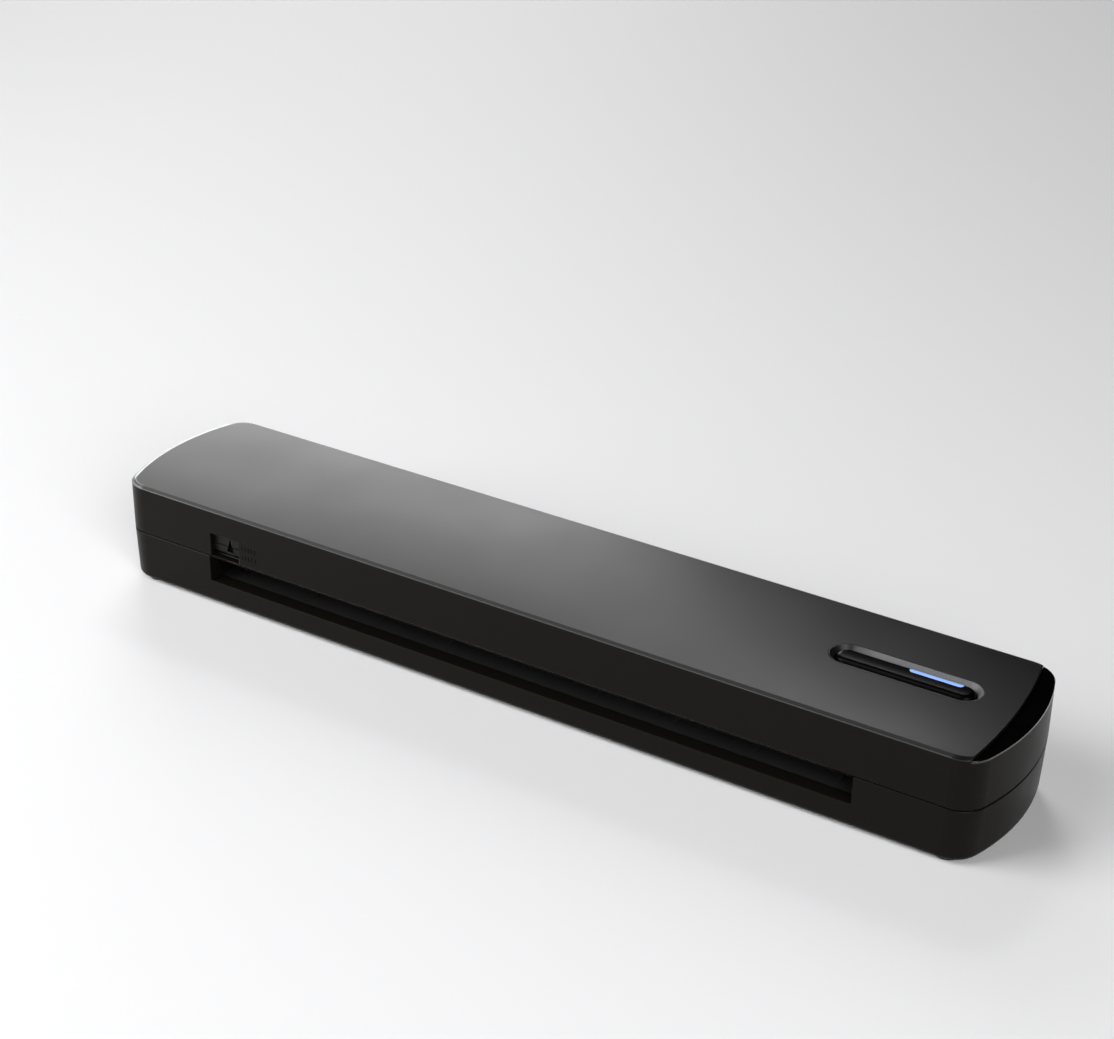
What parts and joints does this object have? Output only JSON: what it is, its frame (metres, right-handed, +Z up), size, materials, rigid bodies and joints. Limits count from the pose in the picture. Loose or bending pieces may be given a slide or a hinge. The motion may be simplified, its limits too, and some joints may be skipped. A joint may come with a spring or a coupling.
{
  "type": "portable thermal printer",
  "caption": "Slim bar-shaped portable thermal printer for A4 sheets: hinged upper casing with print head, platen roller in the base, long push button with light bar.",
  "frame": {"origin": "bottom centre, on the plane the rubber feet stand on", "axes": "+X along the length to the end with the power button, -Y to the side where the sheet goes in, +Z up"},
  "size_m": [0.31, 0.0589, 0.0353],
  "materials": {
    "case_black": "fine satin grain, near-black",
    "plate_grey": "smooth satin dark grey paint",
    "trim_gloss": "polished piano black",
    "button_gloss": "polished black",
    "bezel_grey": "satin grey",
    "light_blue": "lit light bar",
    "foot_rubber": "matt black",
    "roller_rubber": "ground black",
    "guide_black": "moulded black",
    "slider_black": "moulded black",
    "sheet_steel": "zinc plated sheet",
    "ground_steel": "ground",
    "clip_steel": "black oxide",
    "spring_steel": "cold rolled",
    "screw_steel": "zinc plated",
    "socket_steel": "nickel plated",
    "magnet_nickel": "nickel plated",
    "motor_can": "plated can",
    "bush_white": "natural acetal",
    "gear_white": "natural acetal",
    "pinion_brass": "machined",
    "board_green": "solder mask",
    "chip_black": "moulded package",
    "cell_foil": "pouch foil",
    "heatsink_alu": "extruded, plain",
    "head_ceramic": "ground alumina"
  },
  "bodies": {
    "base": {"lower_casing": "case_black", "rubber_feet": "foot_rubber", "lower_paper_guide": "guide_black", "rear_paper_guide": "guide_black", "right_side_plate": "sheet_steel", "left_side_plate": "sheet_steel", "chassis_screws": "screw_steel", "paper_sensor": "chip_black", "platen_bushings": "bush_white", "idler_axle": "ground_steel", "feed_motor": "motor_can", "motor_bracket": "sheet_steel", "main_board": "board_green", "board_components": "chip_black", "main_board_screws": "screw_steel", "usb_port": "socket_steel", "latch_plates": "sheet_steel"},
    "platen": {"platen_shaft": "ground_steel", "platen_roller": "roller_rubber", "platen_gear": "gear_white", "shaft_clip": "clip_steel"},
    "reduction": {"reduction_gear": "gear_white"},
    "pinion": {"motor_pinion": "pinion_brass", "motor_shaft": "ground_steel"},
    "cover": {"upper_casing": "case_black", "top_plate": "plate_grey", "end_trim": "trim_gloss", "hinge_pins": "ground_steel", "latch_magnets": "magnet_nickel", "cover_frame": "guide_black", "frame_screws": "screw_steel", "button_bezel": "bezel_grey", "button_board": "board_green", "board_screws": "screw_steel", "tact_switch": "chip_black", "switch_plunger": "chip_black", "battery_cells": "cell_foil", "head_springs": "spring_steel"},
    "button": {"power_button": "button_gloss", "led_light_bar": "light_blue"},
    "width_guide": {"paper_guide_slider": "slider_black"},
    "head": {"head_heatsink": "heatsink_alu", "thermal_head": "head_ceramic", "head_board": "board_green", "head_pivot_pins": "ground_steel"}
  },
  "joints": [
    {"name": "cover_hinge", "type": "hinge", "parent": "base", "child": "cover", "pos_m": [0, 0.0257, 0.02095], "axis": [-1, 0, 0], "range_deg": [0, 70]},
    {"name": "power_press", "type": "slide", "parent": "cover", "child": "button", "axis": [0, 0, -1], "range_m": [0, 0.0008], "stiffness_N_per_m": 600, "springref_m": -0.0004, "deforming": ["switch_plunger"]},
    {"name": "width_slide", "type": "slide", "parent": "cover", "child": "width_guide", "axis": [1, 0, 0], "range_m": [-0.003, 0.003]},
    {"name": "head_pivot", "type": "hinge", "parent": "cover", "child": "head", "pos_m": [0, 0.0122, 0.0173], "axis": [-1, 0, 0], "range_deg": [0, 2], "stiffness_Nm_per_rad": 0.5, "springref_deg": -5.73, "deforming": ["head_springs"]},
    {"name": "platen_spin", "type": "hinge", "parent": "base", "child": "platen", "pos_m": [0, 0.006, 0.009], "axis": [1, 0, 0], "continuous": true},
    {"name": "reduction_spin", "type": "hinge", "parent": "base", "child": "reduction", "pos_m": [0.1188, -0.00189, 0.01187], "axis": [1, 0, 0], "continuous": true},
    {"name": "pinion_spin", "type": "hinge", "parent": "base", "child": "pinion", "pos_m": [0.1223, -0.01147, 0.0112], "axis": [1, 0, 0], "continuous": true}
  ],
  "couplings": [
    {"joint": "reduction_spin", "follows": "platen_spin", "ratio": -2},
    {"joint": "pinion_spin", "follows": "platen_spin", "ratio": 4.8571}
  ]
}
